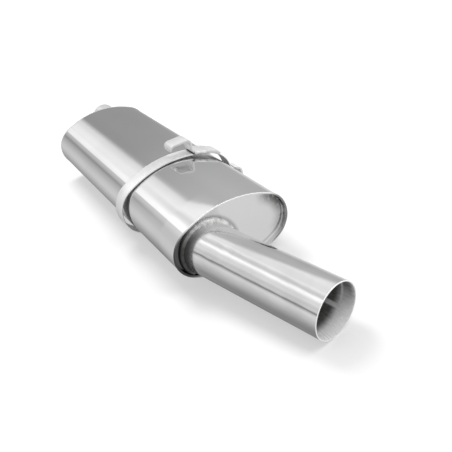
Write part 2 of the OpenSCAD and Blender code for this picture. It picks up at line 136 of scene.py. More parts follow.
class Tree:
    """A thin wrapper that adds and joins nodes of one node tree."""

    def __init__(self, tree: bpy.types.NodeTree) -> None:
        """Keeps the tree that the calls work on."""
        self.tree = tree

    def node(self, kind: str, inputs: Inputs | None = None,
             **values: object) -> bpy.types.Node:
        """Adds a node.

        Args:
            kind: the node's type name.
            inputs: sockets or constants for its inputs, by name or number.
            values: attributes that are set on the node.

        Returns:
            The new node.
        """
        new = self.tree.nodes.new(kind)
        for name, value in values.items():
            setattr(new, name, value)
        self.fill(new, inputs or {})
        return new

    def fill(self, node: bpy.types.Node, inputs: Inputs) -> None:
        """Joins sockets to a node's inputs, or sets constants on them.

        Args:
            node: the node.
            inputs: sockets or constants, by name or number; None is left out.
        """
        for key, value in inputs.items():
            if isinstance(value, Socket):
                self.tree.links.new(value, node.inputs[key])
            elif value is not None:
                node.inputs[key].default_value = value

    def math(self, operation: str, *values: object) -> Socket:
        """Adds a maths node and gives its result."""
        return self.node("ShaderNodeMath", dict(enumerate(values)),
                         operation=operation).outputs[0]

    def times(self, first: object, *others: object) -> object:
        """Multiplies sockets or numbers.

        Args:
            first: a socket or number.
            others: what it is multiplied by, in turn.

        Returns:
            The product's socket, or the first itself where it stands alone.
        """
        for other in others:
            first = self.math("MULTIPLY", first, other)
        return first

    def vector(self, operation: str, first: object, second: object = None,
               scale: object = None) -> Socket:
        """Adds a vector maths node.

        Args:
            operation: the name of the operation.
            first: a vector socket.
            second: a vector socket or constant, where the operation takes one.
            scale: the factor, where the operation takes one.

        Returns:
            Its result, a number or a vector as the operation gives.
        """
        new = self.node("ShaderNodeVectorMath", {0: first, 1: second, "Scale": scale},
                        operation=operation)
        number = operation in ("DOT_PRODUCT", "LENGTH", "DISTANCE")
        return new.outputs["Value" if number else "Vector"]

    def split(self, vector: Socket) -> bpy.types.NodeOutputs:
        """Splits a vector into its X, Y and Z."""
        return self.node("ShaderNodeSeparateXYZ", {0: vector}).outputs

    def coordinates(self, kind: str = "Object") -> Socket:
        """Gives the texture coordinate of a kind."""
        return self.node("ShaderNodeTexCoord").outputs[kind]

    def noise(self, vector: Socket, scale: float = 1.0, layers: float = 4.0) -> Socket:
        """Adds a noise texture.

        Args:
            vector: the socket with the place it is read at.
            scale: its fineness, in cycles per metre of that place.
            layers: how many finer layers it holds.

        Returns:
            The socket with its value, about 0.5 on average.
        """
        return self.node("ShaderNodeTexNoise", {
            "Vector": vector, "Scale": scale, "Detail": layers}).outputs["Fac"]

    def fade(self, value: object, fade: Fade) -> Socket:
        """Maps a value by a fade.

        Args:
            value: a socket or number.
            fade: the range, and what its ends become.

        Returns:
            The mapped value's socket.
        """
        numbers = (value, fade.low, fade.high, fade.at_low, fade.at_high)
        return self.node("ShaderNodeMapRange", dict(enumerate(numbers)),
                         interpolation_type="SMOOTHSTEP").outputs[0]

    def blend(self, mask: object, first: object, second: object) -> Socket:
        """Mixes two colours.

        Args:
            mask: the share of the second one.
            first: a colour's socket or triple.
            second: a colour's socket or triple.

        Returns:
            The mixed colour's socket.
        """
        colors = ((*color, 1.0) if isinstance(color, tuple) else color
                  for color in (first, second))
        # A Mix node takes its colours at inputs 6 and 7 and gives them at output 2
        return self.node("ShaderNodeMix", dict(zip((0, 6, 7), (mask, *colors))),
                         data_type="RGBA").outputs[2]


def new_group(name: str, inputs: dict[str, str], outputs: dict[str, str],
              kind: str = "ShaderNodeTree"
              ) -> tuple[Tree, bpy.types.NodeOutputs, bpy.types.Node]:
    """Makes an empty node group.

    Args:
        name: the group's name.
        inputs: each input's name and socket type.
        outputs: each output's name and socket type.
        kind: the tree's type.

    Returns:
        The tree's wrapper, the sockets of its inputs and its output node.
    """
    group = bpy.data.node_groups.new(name, kind)
    for way, sockets in (("OUTPUT", outputs), ("INPUT", inputs)):
        for label, socket in sockets.items():
            group.interface.new_socket(label, in_out=way, socket_type=socket)
    tree = Tree(group)
    return tree, tree.node("NodeGroupInput").outputs, tree.node("NodeGroupOutput")


def grain_group(smudged: Fade = Fade(0.38, 0.68)) -> bpy.types.NodeTree:
    """Builds the group for drawn-out polishing marks and faint smudges.

    Args:
        smudged: how noise becomes smudges.

    Returns:
        The group, with the outputs Marks, Smudges and Height.
    """
    tree, got, outs = new_group("drawn_grain", dict.fromkeys(("Along", "Across", "Patch"), FLOAT),
                                dict.fromkeys(("Marks", "Smudges", "Height"), FLOAT))
    place = tree.coordinates()
    scale = tree.node("ShaderNodeCombineXYZ",
                      {0: got["Along"], 1: got["Across"], 2: got["Across"]})
    marks = tree.noise(tree.vector("MULTIPLY", place, scale.outputs[0]), layers=2.0)
    smudges = tree.noise(tree.vector("SCALE", place, scale=got["Patch"]))
    tree.fill(outs, {"Marks": marks, "Height": marks, "Smudges": tree.fade(smudges, smudged)})
    return tree.tree


def axis_group() -> bpy.types.NodeTree:
    """Builds the group that measures a place along and round an axis line.

    Returns:
        The group. Along is the distance from Origin along Axis, and Off the distance
        from the line. Side and Up are the +Y and +Z parts of the unit vector away from it.
    """
    tree, got, outs = new_group("axis_place", {"Origin": VECTOR, "Axis": VECTOR},
                                dict.fromkeys(("Along", "Off", "Side", "Up"), FLOAT))
    away = tree.vector("SUBTRACT", tree.coordinates(), got["Origin"])
    along = tree.vector("DOT_PRODUCT", away, got["Axis"])
    radial = tree.vector("SUBTRACT", away, tree.vector("SCALE", got["Axis"], scale=along))
    parts = tree.split(tree.vector("NORMALIZE", radial))
    tree.fill(outs, {"Along": along, "Off": tree.vector("LENGTH", radial),
                     "Side": parts["Y"], "Up": parts["Z"]})
    return tree.tree


# Finishes


class Coat:
    """A material in the making, with its colour, roughness and metal share so far."""

    def __init__(self, kit: "Kit", name: str) -> None:
        """Makes the empty material.

        Args:
            kit: the shared shader groups.
            name: the material's name.
        """
        self.kit = kit
        self.material = bpy.data.materials.new(name)
        self.material.use_nodes = True
        self.tree = Tree(self.material.node_tree)
        self.base: object = None
        self.rough: object = None
        self.metal: object = 0.0

    def group(self, group: bpy.types.NodeTree, **values: object) -> bpy.types.NodeOutputs:
        """Puts a group in the material with its own values and gives its outputs."""
        return self.tree.node("ShaderNodeGroup", values, node_tree=group).outputs

    def grain(self, along: float, across: float, patch: float) -> bpy.types.NodeOutputs:
        """Gives polishing marks and smudges, by their cycles per metre."""
        return self.group(self.kit.grain, Along=along, Across=across, Patch=patch)

    def round_x(self, y: float, z: float = 0.0) -> bpy.types.NodeOutputs:
        """Measures the place round a line along X."""
        return self.group(self.kit.axis, Origin=(0.0, y, z), Axis=(1.0, 0.0, 0.0))

    def round_tail(self) -> bpy.types.NodeOutputs:
        """Measures the place round the tail pipe's axis."""
        return self.group(self.kit.axis, Origin=TAIL_ROOT, Axis=self.kit.tail_axis)

    def paint(self, color: Triple, *masks: object) -> None:
        """Blends a colour in by the product of some masks."""
        self.base = self.tree.blend(self.tree.times(*masks), self.base, color)

    def roughen(self, mask: Socket, amount: float) -> None:
        """Adds roughness by a mask."""
        self.rough = self.tree.math("MULTIPLY_ADD", mask, amount, self.rough)

    def finish(self, height: Socket, depth: float) -> bpy.types.Material:
        """Joins everything to the shader.

        Args:
            height: the relief.
            depth: how many metres one unit of the relief stands for.

        Returns:
            The finished material.
        """
        bump = self.tree.node("ShaderNodeBump",
                              {"Strength": 1.0, "Distance": depth, "Height": height})
        self.tree.fill(self.material.node_tree.nodes["Principled BSDF"], {
            "Base Color": self.base, "Metallic": self.metal, "Roughness": self.rough,
            "Normal": bump.outputs[0]})
        return self.material


@dataclass(frozen=True)
class Steel:
    """A stainless steel finish with drawn polishing marks and smudges."""

    color: Triple
    rough: float
    rough_marks: float
    bump: float
    along: float
    across: float
    patch: float
    smudge: float
    metal: float = 1.0
    smudge_dark: float = 2.2
    marks_low: float = 0.3
    marks_high: float = 0.7

    def build(self, kit: "Kit", name: str) -> bpy.types.Material:
        """Makes the material.

        Args:
            kit: the shared shader groups.
            name: the material's name.

        Returns:
            The new material.
        """
        coat = Coat(kit, name)
        grain = coat.grain(self.along, self.across, self.patch)
        darker = tuple(c * (1.0 - self.smudge_dark * self.smudge) for c in self.color)
        coat.base = coat.tree.blend(grain["Smudges"], self.color, darker)
        coat.rough = coat.tree.fade(grain["Marks"], Fade(
            self.marks_low, self.marks_high, self.rough - self.rough_marks,
            self.rough + self.rough_marks))
        coat.roughen(grain["Smudges"], self.smudge)
        coat.metal = self.metal
        self.detail(coat)
        return coat.finish(self.relief(coat, grain["Height"]), self.bump)

    def detail(self, coat: Coat) -> None:
        """Adds what only one kind of piece shows; plain steel adds nothing.

        Args:
            coat: the material, whose colour, roughness and metal share may change.
        """

    def relief(self, coat: Coat, height: Socket) -> Socket:
        """Adds relief that only one kind of piece has; plain steel adds none.

        Args:
            coat: the material.
            height: the relief of the polishing marks.

        Returns:
            The whole relief.
        """
        return height


@dataclass(frozen=True)
class BodySteel(Steel):
    """Polished sheet that falls to its front rim, with a darker ring and painted shade on the
    front cap.
    """

    fall_start: float = 0.575
    fall_power: float = 1.5
    fall_low: float = -0.085
    fall_high: float = -0.040
    fall_depth: float = 0.0042
    fall_sheet: Fade = Fade(0.3, 0.6, 1.0, 0.0)
    plate_along: Fade = Fade(FRONT_RIM_X - PLATE_IN - 0.0010, FRONT_RIM_X - PLATE_IN - 0.0004)
    plate_off: Fade = Fade(SIDE_R - 0.0006, SIDE_R - 0.0002, 1.0, 0.0)
    ring_in: Fade = Fade(0.0418, 0.0440)
    ring_out: Fade = Fade(0.0440, 0.0500, 1.0, 0.0)
    ring_along: Fade = Fade(0.014, 0.020, 1.0, 0.0)
    ring_share: float = 0.60
    ring_color: Triple = (0.26, 0.25, 0.245)
    weld_shade_side: Fade = Fade(-0.80, -0.25, 0.90, 0.0)
    weld_shade_off: Fade = Fade(0.056, 0.066, 1.0, 0.0)
    deep_shade_color: Triple = (0.05, 0.049, 0.048)
    corner_off: Fade = Fade(0.016, 0.036, 0.0, 0.95)
    corner_lean: float = 0.20
    corner_turn: Fade = Fade(0.05, 0.90)
    corner_up: Fade = Fade(-0.20, 0.42, 0.52, 1.0)
    corner_scale: float = 160.0
    corner_mottle: Fade = Fade(0.30, 0.50, 0.72, 1.0)
    corner_shade_color: Triple = (0.085, 0.083, 0.08)

    def detail(self, coat: Coat) -> None:
        """Adds a darker ring round the tail pipe's root, painted shade beside the weld and
        painted shade in the cap's corner.

        Args:
            coat: the material.
        """
        tree, spot = coat.tree, coat.round_tail()
        off = spot["Off"]
        coat.paint(self.ring_color, self.ring_share, tree.fade(off, self.ring_in),
                   tree.fade(off, self.ring_out),
                   tree.fade(tree.math("ABSOLUTE", spot["Along"]), self.ring_along))
        reach = BODY_W / 2 - SIDE_R
        near, far = (coat.round_x(BODY_Y + y) for y in (-reach, reach))
        # Painted shade on the sunk plate and its wall beside the tail pipe's weld, on the -Y side
        coat.paint(self.deep_shade_color, tree.fade(spot["Side"], self.weld_shade_side),
                   tree.fade(off, self.weld_shade_off), self.sunk(tree, near))
        # Painted shade in the +Y corner of the sunk plate, where its bend mirrors the dark top,
        # mottled by noise
        turn = tree.math("MULTIPLY_ADD", far["Up"], self.corner_lean, far["Side"])
        mottle = tree.noise(tree.coordinates(), self.corner_scale)
        coat.paint(self.corner_shade_color, tree.fade(far["Off"], self.corner_off),
                   tree.fade(turn, self.corner_turn), tree.fade(far["Up"], self.corner_up),
                   tree.fade(mottle, self.corner_mottle), self.sunk(tree, far))

    def sunk(self, tree: Tree, end: bpy.types.NodeOutputs) -> Socket:
        """Masks the cap's sunk plate and its wall, at one narrow end of the oval."""
        return tree.times(tree.fade(end["Along"], self.plate_along),
                          tree.fade(end["Off"], self.plate_off))

    def relief(self, coat: Coat, height: Socket) -> Socket:
        """Adds the fall of the sheet to its crimped front edge, off the flat caps.

        Args:
            coat: the material.
            height: the relief of the polishing marks.

        Returns:
            The whole relief.
        """
        tree = coat.tree
        place, normal = (tree.split(tree.coordinates(kind)) for kind in ("Object", "Normal"))
        past = tree.math("MAXIMUM", tree.math("SUBTRACT", place[0], self.fall_start), 0.0)
        past = tree.math("POWER", tree.math("DIVIDE", past, FRONT_RIM_X - self.fall_start),
                         self.fall_power)
        drop = tree.fade(place[1], Fade(self.fall_low, self.fall_high,
                                        -self.fall_depth / self.bump, 0.0))
        sheet = tree.fade(tree.math("ABSOLUTE", normal[0]), self.fall_sheet)
        return tree.math("MULTIPLY_ADD", past, tree.times(drop, sheet), height)


@dataclass(frozen=True)
class TailSteel(Steel):
    """Polished pipe with an unpolished neck that has painted shade on its -Y side, a duller bore
    with painted shade and highlights, and a ground rim.
    """

    wall_low: float = 0.0364
    wall_high: float = 0.0368
    neck_scale: float = 90.0
    neck_ragged: float = 0.009
    neck_slope: float = 0.018
    neck_long: float = 0.0285
    neck_short: float = 0.0170
    neck_end: Fade = Fade(-0.014, 0.003, 1.0, 0.0)
    neck_shade_side: Fade = Fade(-0.80, 0.15, 0.93, 0.05)
    neck_shade_color: Triple = (0.10, 0.098, 0.095)
    neck_rough: float = 0.36
    neck_dull: float = 0.35
    glint_ring_depth: float = 0.019
    glint_ring_width: Fade = Fade(0.0006, 0.0026, 0.8, 0.0)
    glint_ring_side: Fade = Fade(0.35, 0.65)
    shade_up: Fade = Fade(-0.70, 0.35, 0.0, 0.92)
    shade_depth: Fade = Fade(0.0, 0.008, 0.30, 1.0)
    shade_color: Triple = grey(0.17)
    seam_up: float = -0.64
    seam_width: Fade = Fade(0.04, 0.09, 0.95, 0.0)
    seam_side: Fade = Fade(0.0, 0.2)
    deep_shade_depth: Fade = Fade(0.016, 0.030, 0.0, 0.88)
    deep_shade_color: Triple = (0.06, 0.058, 0.055)
    bore_rough: float = 0.20
    bore_dull: float = 0.85
    rim_along: Fade = Fade(TAIL_MOUTH - 0.0012, TAIL_MOUTH - 0.0004)
    rim_color: Triple = grey(0.97)
    rim_rough: float = 0.4
    rim_dull: float = 0.9
    wave: float = 0.00010
    wave_scale: Triple = (14.0, 130.0, 130.0)
    wave_root: float = 2.4
    wave_from: float = 0.03
    wave_to: float = 0.10

    def detail(self, coat: Coat) -> None:
        """Adds the neck with its painted shade, the bore with its painted shade and highlights,
        and the rim.

        Args:
            coat: the material.
        """
        tree, spot = coat.tree, coat.round_tail()
        along, off, side, up = (spot[name] for name in ("Along", "Off", "Side", "Up"))
        ragged = tree.noise(tree.coordinates(), self.neck_scale)
        edge = tree.math("MULTIPLY_ADD", ragged, self.neck_ragged, along)
        neck = tree.math("MULTIPLY_ADD", side, self.neck_slope, self.neck_long)
        neck = tree.math("SUBTRACT", edge, tree.math("MAXIMUM", neck, self.neck_short))
        neck = tree.fade(neck, self.neck_end)
        # The neck is rougher all round; its -Y side gets painted shade
        coat.paint(self.neck_shade_color, neck, tree.fade(side, self.neck_shade_side))
        coat.roughen(neck, self.neck_rough)
        bore = tree.fade(off, Fade(self.wall_low, self.wall_high, 1.0, 0.0))
        coat.paint(WHITE, bore)
        coat.roughen(bore, self.bore_rough)
        depth = tree.math("SUBTRACT", TAIL_MOUTH, along)
        # A painted highlight ring in the bore, which keeps the painted shade off it
        glint_ring = self.line(tree, depth, self.glint_ring_depth, self.glint_ring_width)
        clear = tree.math("SUBTRACT", 1.0, tree.times(glint_ring, tree.fade(side, self.glint_ring_side)))
        coat.paint(self.shade_color, tree.fade(up, self.shade_up),
                   tree.fade(depth, self.shade_depth), clear, bore)
        # A painted highlight along the bore's seam, which keeps the deeper painted shade off it
        seam = tree.times(self.line(tree, up, self.seam_up, self.seam_width),
                          tree.fade(side, self.seam_side))
        # Painted shade that darkens the bore further in
        coat.paint(self.deep_shade_color, bore, tree.fade(depth, self.deep_shade_depth), clear,
                   tree.math("SUBTRACT", 1.0, seam))
        rim = tree.fade(along, self.rim_along)
        coat.paint(self.rim_color, rim)
        coat.roughen(rim, self.rim_rough)
        dull = tree.math("MAXIMUM", tree.times(rim, self.rim_dull),
                         tree.times(bore, self.bore_dull))
        dull = tree.math("MAXIMUM", dull, tree.times(neck, self.neck_dull))
        coat.metal = tree.math("SUBTRACT", 1.0, dull)

    def line(self, tree: Tree, value: Socket, middle: float, width: Fade) -> Socket:
        """Masks a line where a value is near its middle."""
        return tree.fade(tree.math("ABSOLUTE", tree.math("SUBTRACT", value, middle)), width)

    def relief(self, coat: Coat, height: Socket) -> Socket:
        """Adds the faint long waves that polishing left on the outside.

        Args:
            coat: the material.
            height: the relief of the polishing marks.

        Returns:
            The whole relief.
        """
        tree, spot = coat.tree, coat.round_tail()
        waves = tree.noise(tree.vector("MULTIPLY", tree.coordinates(), self.wave_scale),
                           layers=1.0)
        depth = self.wave / self.bump
        strength = tree.fade(spot["Along"], Fade(self.wave_from, self.wave_to,
                                                 self.wave_root * depth, depth))
        outside = tree.fade(spot["Off"], Fade(self.wall_low, self.wall_high))
        return tree.times(tree.math("MULTIPLY_ADD", waves, strength, height), outside)


@dataclass(frozen=True)
class RimSteel(Steel):
    """Fused rim bead, with painted shade beside the tail pipe's weld and round its +Y end."""

    end_lean: float = -0.25
    end_turn: Fade = Fade(0.15, 0.65, 0.0, 0.72)
    end_off: Fade = Fade(SIDE_R + 0.004, SIDE_R + 0.008, 1.0, 0.0)
    end_shade_color: Triple = grey(0.12)
    away_off: Fade = Fade(0.105, 0.150, 0.0, 0.45)
    away_color: Triple = grey(0.40)
    weld_shade_side: Fade = Fade(-0.95, -0.35, 0.97, 0.0)
    weld_shade_off: Fade = Fade(0.056, 0.066, 1.0, 0.0)
    weld_shade_along: Fade = Fade(-0.03, -0.01)

    def detail(self, coat: Coat) -> None:
        """Adds the grey stretch of painted shade at the +Y end and the painted shade beside the
        weld.

        Args:
            coat: the material.
        """
        tree = coat.tree
        end = coat.round_x(BODY_Y + BODY_W / 2 - SIDE_R)
        turn = tree.math("MULTIPLY_ADD", end["Up"], self.end_lean, end["Side"])
        # Painted shade round the rim's +Y end
        coat.paint(self.end_shade_color, tree.fade(turn, self.end_turn),
                   tree.fade(end["Off"], self.end_off))
        coat.paint(self.away_color, tree.fade(end["Off"], self.away_off))
        spot = coat.round_tail()
        # Painted shade on the rim beside the tail pipe's weld, on the -Y side
        coat.paint(DEEP_SHADE, tree.fade(spot["Side"], self.weld_shade_side),
                   tree.fade(spot["Off"], self.weld_shade_off),
                   tree.fade(spot["Along"], self.weld_shade_along))


@dataclass(frozen=True)
class HangerSteel(Steel):
    """Bright rolled bar, with painted shade on the strap's inner face and on the hook's foot."""

    end_off: Fade = Fade(STRAP_END_R - 0.0002, STRAP_END_R + 0.0002, 1.0, 0.0)
    end_sides: tuple[Fade, Fade] = (Fade(-0.85, -0.45, 0.85, 0.0), Fade(0.40, 0.60, 0.0, 0.6))
    end_shade_color: Triple = grey(0.25)
    strap_off: Fade = Fade(STRAP_ARC_R + 0.003, STRAP_ARC_R + 0.005, 1.0, 0.0)
    hanger_shade: tuple[Fade, Fade] = (Fade(-0.42, -0.10, 0.0, 0.34), Fade(-0.04, 0.01, 1.0, 0.0))
    hanger_shade_color: Triple = grey(0.42)
    strap_highlight: tuple[Fade, Fade] = (Fade(-0.01, 0.03, 0.0, 0.9), Fade(0.05, 0.28, 1.0, 0.0))
    foot_off: tuple[Fade, Fade] = (
        Fade(STRAP_ARC_R + 0.0012, STRAP_ARC_R + 0.0016),
        Fade(STRAP_ARC_R + 0.0045, STRAP_ARC_R + 0.0060, 1.0, 0.0))
    foot_side: Fade = Fade(0.32, 0.40, 1.0, 0.0)
    foot_share: float = 0.28
    foot_shade_color: Triple = grey(0.38)
    arm_off: Fade = Fade(STRAP_ARC_R + 0.014, STRAP_ARC_R + 0.0165, 0.0, 0.24)
    nook: tuple[float, float] = (-0.0002, 0.0516)
    nook_off: Fade = Fade(0.0012, 0.0034, 0.8, 0.0)
    nook_shadow_color: Triple = grey(0.04)

    def detail(self, coat: Coat) -> None:
        """Adds painted shade on the inner face, the strap's painted shade and highlight, painted
        shade on the foot and arm, and a painted shadow in the nook.

        Args:
            coat: the material.
        """
        tree = coat.tree
        top, *ends = (coat.round_x(BODY_Y + y, z) for y, z in (STRAP_TOP, *STRAP_ENDS))
        # Painted shade on the inner faces of the strap's end arcs, between strap and shell
        inner = (tree.times(tree.fade(end["Side"], side), tree.fade(end["Off"], self.end_off))
                 for end, side in zip(ends, self.end_sides))
        coat.paint(self.end_shade_color, tree.math("ADD", *inner))
        # Painted shade and a painted highlight along the strap's top
        strap = tree.fade(top["Off"], self.strap_off)
        for color, fades in ((self.hanger_shade_color, self.hanger_shade), (WHITE, self.strap_highlight)):
            coat.paint(color, strap, *(tree.fade(top["Side"], fade) for fade in fades))
        # Painted shade on the hook's foot
        coat.paint(self.foot_shade_color, self.foot_share, tree.fade(top["Side"], self.foot_side),
                   *(tree.fade(top["Off"], fade) for fade in self.foot_off))
        # Painted shade on the hook's arm
        coat.paint(self.hanger_shade_color, tree.fade(top["Off"], self.arm_off))
        # Painted shadow in the nook at the leg's bend
        coat.paint(self.nook_shadow_color, tree.fade(coat.round_x(*self.nook)["Off"], self.nook_off))


@dataclass(frozen=True)
class WeldBead:
    """Bare weld metal, with bright crests and, where set, painted shade on its -Y side."""

    bright: Triple
    dull: Triple
    rough: float
    metal: float
    shades_minus_y: bool = False
    grain: Triple = (700.0, 700.0, 160.0)
    rough_more: float = 0.18
    bump: float = 0.0002
    minus_y_shade: Fade = Fade(-0.94, 0.12, 0.96, 0.03)

    def build(self, kit: "Kit", name: str) -> bpy.types.Material:
        """Makes the material.

        Args:
            kit: the shared shader groups.
            name: the material's name.

        Returns:
            The new material.
        """
        coat = Coat(kit, name)
        tree, grain = coat.tree, coat.grain(*self.grain)
        coat.base = tree.blend(grain["Smudges"], self.bright, self.dull)
        # Painted shade on the bead's -Y side
        if self.shades_minus_y:
            coat.paint(DEEP_SHADE, tree.fade(coat.round_tail()["Side"], self.minus_y_shade))
        coat.metal = self.metal
        coat.rough = tree.fade(grain["Smudges"],
                               Fade(0.0, 1.0, self.rough, self.rough + self.rough_more))
        return coat.finish(grain["Height"], self.bump)


@dataclass(frozen=True)
class Wool:
    """Matted glass wool."""

    light: Triple
    dark: Triple
    rough: float = 0.95
    grain: Triple = (60.0, 420.0, 120.0)
    bump: float = 0.0015

    def build(self, kit: "Kit", name: str) -> bpy.types.Material:
        """Makes the material.

        Args:
            kit: the shared shader groups.
            name: the material's name.

        Returns:
            The new material.
        """
        coat = Coat(kit, name)
        grain = coat.grain(*self.grain)
        coat.base = coat.tree.blend(grain["Marks"], self.light, self.dark)
        coat.rough = self.rough
        return coat.finish(grain["Height"], self.bump)


# The finish of each look
FINISHES = {
    Look.POLISHED: BodySteel((0.82, 0.82, 0.825), rough=0.09, rough_marks=0.02,
                             bump=0.00002, along=5.0, across=420.0, patch=9.0, smudge=0.02),
    Look.TAIL: TailSteel((0.82, 0.82, 0.825), rough=0.065, rough_marks=0.02, bump=0.00002,
                         along=6.0, across=300.0, patch=24.0, smudge=0.03),
    Look.RIM: RimSteel(grey(0.93), rough=0.30, rough_marks=0.05, bump=0.00002, along=60.0,
                       across=60.0, patch=30.0, smudge=0.02, metal=0.5),
    Look.BRUSHED: HangerSteel(grey(0.82), rough=0.34, rough_marks=0.08, bump=0.00005,
                              along=900.0, across=60.0, patch=30.0, smudge=0.04,
                              metal=0.40),
    Look.PLAIN: Steel(grey(0.66), rough=0.36, rough_marks=0.05, bump=0.00003, along=500.0,
                      across=80.0, patch=30.0, smudge=0.04, metal=0.45),
    Look.WELD: WeldBead(bright=(0.90, 0.90, 0.89), dull=(0.70, 0.69, 0.68), rough=0.30,
                        metal=0.6),
    Look.DARK_WELD: WeldBead(bright=(0.97, 0.97, 0.965), dull=(0.64, 0.64, 0.635),
                             rough=0.26, metal=0.7, shades_minus_y=True),
    Look.WOOL: Wool(light=(0.74, 0.68, 0.52), dark=(0.55, 0.49, 0.36)),
}


@dataclass
class Kit:
    """The shader groups that the finishes share, and the finished materials."""

    tail_axis: Vector
    grain: bpy.types.NodeTree = field(default_factory=grain_group)
    axis: bpy.types.NodeTree = field(default_factory=axis_group)
    made: dict[Look, bpy.types.Material] = field(default_factory=dict)

    def __post_init__(self) -> None:
        """Builds every finish."""
        for look, finish in FINISHES.items():
            self.made[look] = finish.build(self, look.value)


# Pieces


def ripple_tree() -> bpy.types.NodeTree:
    """Builds the Geometry Nodes tree that lays overlapping lumps of weld along an arc.

    Returns:
        The tree. Its arc lies in the XY plane before Turn and Place are applied.
    """
    numbers = ("Radius", "Start", "Sweep", "Lump Width", "Lump Length", "Lump Height", "Uneven")
    tree, got, outs = new_group(
        "weld_ripples",
        {"Geometry": GEOMETRY, **dict.fromkeys(numbers, FLOAT), "Count": "NodeSocketInt",
         "Seed": "NodeSocketInt", "Turn": VECTOR, "Place": VECTOR,
         "Material": "NodeSocketMaterial"},
        {"Geometry": GEOMETRY}, "GeometryNodeTree")
    arc = tree.node("GeometryNodeCurveArc", {
        "Radius": got["Radius"], "Start Angle": got["Start"], "Sweep Angle": got["Sweep"],
        "Resolution": ARC_STEPS}, mode="RADIUS")
    points = tree.node("GeometryNodeCurveToPoints", {
        "Curve": arc.outputs["Curve"], "Count": got["Count"]}, mode="COUNT").outputs
    lump = tree.node("GeometryNodeMeshIcoSphere", {"Radius": 1.0, "Subdivisions": LUMP_STEPS})
    size = tree.node("ShaderNodeCombineXYZ", {
        0: got["Lump Width"], 1: got["Lump Height"], 2: got["Lump Length"]})
    random = tree.node("FunctionNodeRandomValue", {
        2: tree.math("SUBTRACT", 1.0, got["Uneven"]), 3: 1.0, "Seed": got["Seed"]},
        data_type="FLOAT")
    lay = tree.node("GeometryNodeInstanceOnPoints", {
        "Points": points["Points"], "Instance": lump.outputs["Mesh"],
        "Rotation": points["Rotation"],
        "Scale": tree.vector("SCALE", size.outputs[0], scale=random.outputs[1])})
    real = tree.node("GeometryNodeRealizeInstances", {0: lay.outputs[0]})
    move = tree.node("GeometryNodeTransform", {
        "Geometry": real.outputs[0], "Rotation": got["Turn"], "Translation": got["Place"]})
    smooth = tree.node("GeometryNodeSetShadeSmooth", {"Geometry": move.outputs[0]})
    paint = tree.node("GeometryNodeSetMaterial", {
        "Geometry": smooth.outputs[0], "Material": got["Material"]})
    tree.fill(outs, {0: paint.outputs[0]})
    return tree.tree


def add_object(name: str, data: object) -> bpy.types.Object:
    """Makes an object of some data and puts it in the scene.

    Args:
        name: the object's name.
        data: its mesh, lamp or camera data.

    Returns:
        The new object.
    """
    made = bpy.data.objects.new(name, data)
    bpy.context.scene.collection.objects.link(made)
    return made


def grow(name: str, group: bpy.types.NodeTree, **values: object) -> bpy.types.Object:
    """Runs a node tree once and keeps its result as a plain mesh.

    Args:
        name: the new piece's name.
        group: the tree to run.
        values: its inputs by name, with underscores for spaces.

    Returns:
        The new object.
    """
    seed_mesh = bpy.data.meshes.new(name + "_seed")
    maker = add_object(name + "_seed", seed_mesh)
    modifier = maker.modifiers.new("grow", "NODES")
    modifier.node_group = group
    names = {item.name: item.identifier for item in group.interface.items_tree
             if getattr(item, "in_out", "") == "INPUT"}
    for label, value in values.items():
        modifier[names[label.replace("_", " ")]] = value
    bpy.context.view_layer.update()
    depsgraph = bpy.context.evaluated_depsgraph_get()
    mesh = bpy.data.meshes.new_from_object(maker.evaluated_get(depsgraph))
    mesh.name = name
    maker.modifiers.remove(modifier)
    bpy.data.objects.remove(maker)
    bpy.data.meshes.remove(seed_mesh)
    return add_object(name, mesh)


def lathe(name: str, profile: list[tuple[float, float]], origin: Vector, axis: Vector,
          sides: int = 160, sharp: float = 40.0) -> bpy.types.Object:
    """Turns a closed profile round an axis.

    Args:
        name: the new piece's name.
        profile: places along the axis and radii, round the section.
        origin: the axis's start.
        axis: its direction.
        sides: how many faces go round.
        sharp: the angle in degrees over which an edge stays sharp.

    Returns:
        The new object.
    """
    turn = axis.to_track_quat("Z", "Y")
    angles = (2 * math.pi * step / sides for step in range(sides))
    verts = [origin + turn @ Vector((radius * math.cos(angle), radius * math.sin(angle), along))
             for angle in angles for along, radius in profile]
    count = len(profile)
    faces = []
    for step in range(sides):
        here, there = step * count, (step + 1) % sides * count
        for place in range(count):
            after = (place + 1) % count
            faces.append((here + place, there + place, there + after, here + after))
    mesh = bpy.data.meshes.new(name)
    mesh.from_pydata(verts, [], faces)
    form = bmesh.new()
    form.from_mesh(mesh)
    bmesh.ops.recalc_face_normals(form, faces=form.faces)
    for face in form.faces:
        face.smooth = True
    form.to_mesh(mesh)
    form.free()
    mesh.set_sharp_from_angle(angle=math.radians(sharp))
    return add_object(name, mesh)


@dataclass(frozen=True)
class Tube:
    """The section of a tube whose far end has a rounded lip."""

    start: float
    end: float
    outer: float
    wall: float = 0.0015
    lip: float = 0.0006
    lip_steps: int = 5
    rings: int = 12

    def profile(self) -> list[tuple[float, float]]:
        """Works the section out, its rounded lip at the far end.

        Returns:
            Places along the axis and radii, round the section.
        """
        inner, lip, root = self.outer - self.wall, self.lip, self.end - self.lip
        turns = [math.pi / 2 * k / self.lip_steps for k in range(self.lip_steps + 1)]
        corners = [(root + lip * math.sin(a), self.outer - lip + lip * math.cos(a))
                   for a in turns]
        corners += [(root + lip * math.cos(a), inner + lip - lip * math.sin(a)) for a in turns]
        middle = [self.start + (self.end - self.start) * k / self.rings
                  for k in range(1, self.rings)] + [self.end - 2 * lip]
        return ([(self.start, self.outer)] + [(m, self.outer) for m in middle] + corners
                + [(m, inner) for m in reversed(middle)] + [(self.start, inner)])


@dataclass(frozen=True)
class Bead:
    """A row of weld lumps on an arc round X, in metres and in degrees from the +Y side."""

    arc_r: float
    start: float
    sweep: float
    count: int
    width: float
    length: float
    uneven: float


# Sub-assemblies


